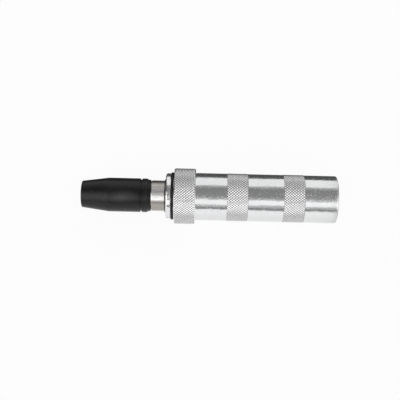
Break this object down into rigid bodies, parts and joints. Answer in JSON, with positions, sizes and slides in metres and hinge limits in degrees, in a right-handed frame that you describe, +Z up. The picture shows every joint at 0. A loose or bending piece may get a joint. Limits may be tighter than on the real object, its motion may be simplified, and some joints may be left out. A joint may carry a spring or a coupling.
{
  "type": "hand impact driver",
  "caption": "Hand impact driver: struck on its tail, a cross pin in V-shaped spindle windows turns a hex bit holder on a square drive.",
  "frame": {"origin": "on the ground below the middle of the driver's length, under its axis, where the part stands on its knurled collar", "axes": "+X along the driver's axis from the bit end to the striking end, +Z up, +Y away from a viewer who has the bit end on the left"},
  "size_m": [0.1668, 0.0366, 0.0366],
  "materials": {
    "bright_plate": "bright zinc or nickel plate, slightly wavy",
    "plated_knurl": "plated diamond knurl",
    "black_rubber": "matt black rubber",
    "hard_steel": "hardened and ground",
    "spring_steel": "oil-tempered wire",
    "ground_steel": "ground steel",
    "black_oxide": "satin black oxide"
  },
  "bodies": {
    "handle": {"handle_body": "bright_plate", "knurled_collar": "plated_knurl", "collar_ring": "black_rubber", "wiper_seal": "black_rubber", "drive_pin": "hard_steel", "return_spring": "spring_steel"},
    "carriage": {"thrust_washer": "hard_steel"},
    "spindle": {"spindle": "ground_steel", "detent_spring": "spring_steel"},
    "detent": {"detent_ball": "hard_steel"},
    "holder": {"bit_holder": "black_oxide", "bit_clip": "spring_steel"}
  },
  "joints": [
    {"name": "strike_slide", "type": "slide", "parent": "handle", "child": "carriage", "axis": [1, 0, 0], "range_m": [0, 0.006], "stiffness_N_per_m": 3000, "springref_m": -0.005, "deforming": ["return_spring"]},
    {"name": "spindle_turn", "type": "hinge", "parent": "carriage", "child": "spindle", "pos_m": [0, 0, 0.01828], "axis": [1, 0, 0], "range_deg": [0, 25.2]},
    {"name": "holder_pull", "type": "slide", "parent": "spindle", "child": "holder", "axis": [-1, 0, 0], "range_m": [0, 0.02]},
    {"name": "detent_press", "type": "slide", "parent": "spindle", "child": "detent", "axis": [0, 0, 1], "range_m": [0, 0.0006], "stiffness_N_per_m": 1000, "springref_m": -0.001, "deforming": ["detent_spring"]}
  ],
  "couplings": [
    {"joint": "spindle_turn", "follows": "strike_slide", "rad_per_m": 72.722}
  ]
}
